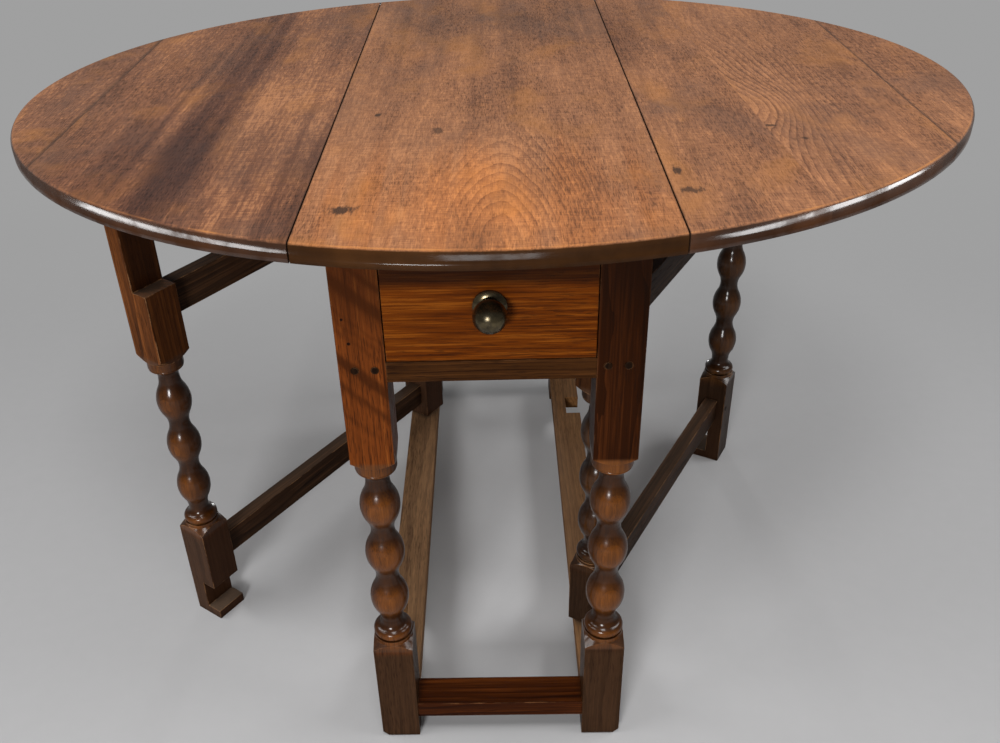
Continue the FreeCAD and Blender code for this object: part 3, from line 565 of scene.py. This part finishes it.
dress("right_leaf_inner_board", wood("oak_right_leaf_inner", **dict(
    TOP, seed=(-0.2, 0.45, 0.0), pith=(0.35, 0.6), seams=JOINTS,
    stains=((0.183 - 0.2, -0.312 + 0.45, 0.006, 0.016, 0.9),
            (0.187 - 0.2, -0.362 + 0.45, 0.014, 0.010, 0.8)),
    streaks=((0.21 - 0.2, -0.25 + 0.45, 0.016, 0.16, 0.7, (0.5, 0.48, 0.5)),
             (0.20 - 0.2, 0.2 + 0.45, 0.05, 0.25, 0.6, (0.5, 0.47, 0.5))))))
dress("right_leaf_middle_board", wood("oak_right_leaf_middle", **dict(
    TOP, pith=(0.95, 0.7), rings=110.0, ring_strength=0.22, ring_warp=1.0,
    ring_focus=(0.32, -0.1, 0.09, 0.4, 0.55), seams=((OUTER_JOINT, 0.0016, 0.8),),
    stains=((0.300, -0.190, 0.012, 0.004, 0.8), (0.328, -0.232, 0.006, 0.006, 0.8)),
    knots=((0.315, -0.12, 0.04, 4.0), (0.30, 0.22, 0.05, -3.0)))))
dress("right_leaf_outer_board", wood("oak_right_leaf_outer", **dict(
    TOP, seed=(0.6, 0.9, 0.2), pith=(0.7, 0.8), seams=((OUTER_JOINT, 0.004, 0.6),))))

# Finish of the frame
LEG = {
    "grain": (0, 0, 1), "rings": 160.0, "streak": 0.5, "pores": 0.55,
    "dark": (0.035, 0.009, 0.002), "mid": (0.118, 0.0285, 0.005), "light": (0.2, 0.058, 0.0105),
    # Darker towards the top of each leg: a painted shadow of the top's overhang
    "pore": (0.008, 0.003, 0.0015), "painted_top_shadow": (0.58, 0.665, 0.6), "wear_colour": (0.26, 0.12, 0.05),
    "rough": 0.34, "rough_spread": 0.1, "specular": 0.03, "coat": 0.0, "coat_rough": 0.18,
    "lathe_coat": 0.42, "bump": 0.2,
}
DARK_LEG = {
    "dark": (0.009, 0.0027, 0.0009), "mid": (0.019, 0.0048, 0.001), "light": (0.046, 0.012, 0.0026),
}
NAIL_HOLES = ((-0.1418, -0.405, 0.615, 0.0018), (-0.1375, -0.405, 0.588, 0.0022))
for end, y in (("front", -LEG_Y), ("rear", LEG_Y)):
    for side, x in (("left", -LEG_X), ("right", LEG_X)):
        finish = dict(LEG, seed=(x, y, 0.0), turned=(x, y), pith=(0.06 * x / LEG_X, 0.05))
        if side == "right":
            finish.update(DARK_LEG)
        elif end == "front":
            finish.update(holes=NAIL_HOLES, ring_strength=0.2, bands=((0.7, 0.0, 0.7), 0.85))
        dress("%s_%s_leg" % (end, side), wood("oak_%s_%s_leg" % (end, side), **finish))

RAIL = dict(LEG, **dict(DARK_LEG, grain=(1, 0, 0), rough=0.4))
dress("front_drawer_rail", wood("oak_drawer_rail", **dict(
    RAIL, mid=(0.036, 0.0125, 0.003), light=(0.075, 0.027, 0.007))), CRISP_EDGE)
dress("rear_end_rail", wood("oak_rear_rail", **RAIL), CRISP_EDGE)
for side, seed in (("left", 0.3), ("right", 0.7)):
    side_finish = dict(RAIL, grain=(0, 1, 0), seed=(seed, 0.1, 0.2))
    dress(side + "_side_rail", wood("oak_%s_side_rail" % side, **side_finish), CRISP_EDGE)
    stretcher = dict(
        side_finish, rough=0.6, dust=0.2, dark=(0.085, 0.04, 0.017), mid=(0.15, 0.076, 0.033),
        light=(0.225, 0.118, 0.052), mottle=0.4, mottle_colour=(0.12, 0.06, 0.027), edge_wear=0.6,
        fleck=40.0)
    if side == "right":
        stretcher.update(
            dark=(0.065, 0.028, 0.010), mid=(0.125, 0.057, 0.020), light=(0.185, 0.09, 0.033))
    dress(side + "_side_stretcher", wood("oak_%s_stretcher" % side, **stretcher), ROUNDED_EDGE)
dress("front_end_stretcher", wood("oak_front_stretcher", **dict(
    RAIL, dark=(0.012, 0.003, 0.001), mid=(0.03, 0.0068, 0.0012), light=(0.08, 0.02, 0.0035),
    edge_wear=0.7)), ROUNDED_EDGE)
dress("rear_end_stretcher", wood("oak_rear_stretcher", **dict(RAIL, dust=0.3)), ROUNDED_EDGE)

# Finish of the gates
GATE = dict(
    LEG, dark=(0.02, 0.0065, 0.0022), mid=(0.075, 0.0225, 0.005), light=(0.16, 0.05, 0.011),
    edge_wear=0.95, wear_colour=(0.34, 0.17, 0.075), dust=0.35, foot=(0.04, 0.019, 0.010),
    mottle=0.3, mottle_colour=(0.03, 0.010, 0.0035))
# Darker copy of the gate's colours for the right gate: painted shade for the shadow on it
SHADED_GATE = {
    "dark": (0.010, 0.004, 0.0015), "mid": (0.034, 0.012, 0.004), "light": (0.08, 0.03, 0.009),
    "amber": ((0.006, 0.0025, 0.001), (0.08, 0.03, 0.007)), "foot": (0.024, 0.012, 0.0065),
}
for side, sign, angle in (("left", -1, LEFT_GATE_ANGLE), ("right", 1, RIGHT_GATE_ANGLE)):
    heading = Vector((sign * math.sin(angle), sign * math.cos(angle), 0))
    post = Vector((sign * LEG_X, -sign * GATE_PIVOT_Y, 0))
    leg = post + heading * GATE_LENGTH
    for piece, spot in (("post", post), ("leg", leg)):
        # One flank of each gate piece gets painted shade
        finish = dict(GATE, seed=(spot.x, spot.y, 0.1), turned=(spot.x, spot.y),
                      painted_flank_shade=((-heading.y, heading.x, 0.0), 0.6))
        if side == "right":
            finish.update(SHADED_GATE)
        dress("%s_gate_%s" % (side, piece), wood("oak_%s_gate_%s" % (side, piece), **finish))
    for piece, seed in (("top_rail", 0.4), ("bottom_rail", 0.9)):
        finish = dict(GATE, grain=tuple(heading), seed=(seed, 0.2, 0.1), rough=0.45, dust=0.12,
                      dark=(0.01, 0.005, 0.003), mid=(0.026, 0.013, 0.007), light=(0.06, 0.027, 0.012))
        dress("%s_gate_%s" % (side, piece), wood("oak_%s_gate_%s" % (side, piece), **finish), EASED_EDGE)

# Pegs, dowels and drawer
PEG = dict(
    LEG, dark=(0.003, 0.0014, 0.0007), mid=(0.007, 0.003, 0.0013), light=(0.014, 0.006, 0.0023),
    rough=0.45)
for name in ("frame_pegs", "left_gate_pegs", "right_gate_pegs", "top_dowels"):
    dress(name, wood("oak_" + name, **PEG))
# The drawer front's darker upper strip is a painted shadow of the top's overhang
dress("drawer_front", wood("oak_drawer_front", **dict(
    LEG, grain=(1, 0, 0), seed=(0.2, 0.1, 0.3), pith=(0.0, -0.5), rings=360.0, ring_strength=0.3,
    streak=0.2, line=1.0, fleck=14.0, rough=0.4, painted_top_shadow=(0.640, 0.656, 0.85),
    dark=(0.05, 0.0105, 0.001), mid=(0.1, 0.0215, 0.0012), light=(0.185, 0.05, 0.004))), EASED_EDGE)
LINING = {
    "dark": (0.10, 0.05, 0.022), "mid": (0.19, 0.10, 0.05), "light": (0.28, 0.165, 0.09), "coat": 0.0,
    "rough": 0.62,
}
for name in ("drawer_left_side", "drawer_right_side", "left_drawer_runner", "right_drawer_runner"):
    dress(name, wood("oak_" + name, **LINING))
for name in ("drawer_back", "drawer_bottom"):
    dress(name, wood("oak_" + name, **dict(LINING, grain=(1, 0, 0), seed=(0.3, 0.2, 0.5))))

# Metal
brass = metal(
    "dark_brass", (0.12, 0.093, 0.05), (0.032, 0.026, 0.0175), (0.007, 0.0055, 0.004), 0.2, 0.85)
for name in ("drawer_knob", "knob_rose", "knob_spindle", "knob_nut"):
    dress(name, brass)
iron = metal("old_iron", (0.12, 0.11, 0.10), (0.06, 0.045, 0.035), (0.02, 0.014, 0.01), 0.5, 0.8)
for side in ("left", "right"):
    for piece in ("hinge_frame_plates", "hinge_leaf_plates", "hinge_pins", "leaf_hinge_screws"):
        dress("%s_%s" % (side, piece), iron)
dress("frame_hinge_screws", iron)


# Studio: paper and haze colours, the haze's range of Y in metres and the strength of the surroundings
PAPER = ((0.405, 0.403, 0.407), (0.425, 0.423, 0.427))
HAZE = (0.35, 0.35, 0.35, 1)
HAZE_RANGE = (0.1, 1.5)
WORLD_STRENGTH = 0.2


def studio_grey():
    """Matt paper of the floor and backdrop, an even grey well behind the table."""
    g = Graph("studio_paper")
    place = g.node("TexCoord").outputs["Object"]
    colour = g.mix(g.noise(place, 40.0, 4.0), *PAPER)
    paper = g.node("BsdfPrincipled", {
        "Base Color": colour, "Roughness": 0.85, "Specular IOR Level": 0.1,
    })
    haze = g.node("Emission", {"Color": HAZE, "Strength": 1.0})
    rays = g.node("LightPath").outputs
    seen = g.math("ADD", rays["Is Camera Ray"], rays["Is Glossy Ray"])
    seen = g.math("ADD", seen, rays["Is Transmission Ray"], None, True)
    hazy = g.math("MULTIPLY", g.ramp(g.part(place, "Y"), *HAZE_RANGE), seen)
    blend = g.node("MixShader", {0: hazy, 1: paper.outputs[0], 2: haze.outputs[0]})
    g.put(g.output.inputs["Surface"], blend.outputs[0])
    return g.material


def backdrop():
    """Paper sweep: a floor that curves up into a wall well behind the table."""
    half_width, front, bend, rise, radius, steps = 9.0, -4.0, 4.5, 7.0, 2.0, 16
    path = [(front, 0.0)]
    for i in range(steps + 1):
        turn = math.radians(90) * i / steps
        path.append((bend + radius * math.sin(turn), radius - radius * math.cos(turn)))
    path.append((bend + radius, rise))
    corners = [(x, y, z) for y, z in path for x in (-half_width, half_width)]
    faces = [(2 * i, 2 * i + 1, 2 * i + 3, 2 * i + 2) for i in range(len(path) - 1)]
    mesh = bpy.data.meshes.new("paper_sweep")
    mesh.from_pydata(corners, [], faces)
    mesh.polygons.foreach_set("use_smooth", [True] * len(faces))
    item = bpy.data.objects.new("paper_sweep", mesh)
    bpy.context.collection.objects.link(item)
    item.data.materials.append(studio_grey())
    return item


def softbox(name, place, target, size, power, roll=0.0):
    """Rectangular soft light aimed at a point, turned about its axis by a roll in degrees."""
    lamp = bpy.data.lights.new(name, "AREA")
    lamp.shape = "RECTANGLE"
    lamp.size, lamp.size_y = size
    lamp.energy = power
    item = bpy.data.objects.new(name, lamp)
    item.location = place
    aim = (Vector(target) - Vector(place)).to_track_quat("-Z", "Y")
    item.rotation_euler = (aim @ Quaternion((0, 0, 1), math.radians(roll))).to_euler()
    bpy.context.collection.objects.link(item)
    return item


def camera():
    """Camera fitted to the photograph."""
    cos_pitch, sin_pitch = math.cos(CAMERA_PITCH), math.sin(CAMERA_PITCH)
    ahead = Vector((math.sin(CAMERA_YAW) * cos_pitch, math.cos(CAMERA_YAW) * cos_pitch, -sin_pitch))
    right = Vector((math.cos(CAMERA_YAW), -math.sin(CAMERA_YAW), 0))
    up = right.cross(ahead)
    x_axis = math.cos(CAMERA_ROLL) * right + math.sin(CAMERA_ROLL) * up
    y_axis = math.cos(CAMERA_ROLL) * up - math.sin(CAMERA_ROLL) * right
    lens = bpy.data.cameras.new("photo_camera")
    lens.sensor_width = 36.0
    lens.lens = FOCAL_PIXELS / PHOTO_SIZE[0] * lens.sensor_width
    lens.shift_x = -CENTRE_OFFSET[0] / PHOTO_SIZE[0]
    lens.shift_y = CENTRE_OFFSET[1] / PHOTO_SIZE[0]
    lens.clip_start = 0.05
    item = bpy.data.objects.new("photo_camera", lens)
    turn = Matrix((x_axis, y_axis, -ahead)).transposed().to_4x4()
    item.matrix_world = Matrix.Translation(CAMERA_PLACE) @ turn
    bpy.context.collection.objects.link(item)
    bpy.context.scene.camera = item


def world():
    """Even grey surroundings."""
    sky = bpy.data.worlds.new("studio")
    sky.use_nodes = True
    back = sky.node_tree.nodes["Background"]
    back.inputs["Color"].default_value = (1, 1, 1, 1)
    back.inputs["Strength"].default_value = WORLD_STRENGTH
    bpy.context.scene.world = sky


camera()
world()
backdrop()
softbox("left_softbox", (-1.98, -0.5, 2.16), (0, -0.2, 0.6), (2.0, 0.35), 30, 26)
softbox("right_softbox", (1.98, -0.2, 2.16), (0, -0.2, 0.6), (2.0, 0.35), 33, -26)
softbox("front_softbox", (0.0, -1.3, 2.6), (0, -0.3, 0.5), (0.6, 0.5), 19)
softbox("low_fill", (-0.8, -3.1, 1.3), (0, 0, 0.4), (0.65, 0.5), 78)
softbox("rear_fill", (0.0, 2.8, 0.5), (0, 0, 0.4), (0.25, 0.3), 16)
bpy.context.scene.view_settings.view_transform = "Standard"
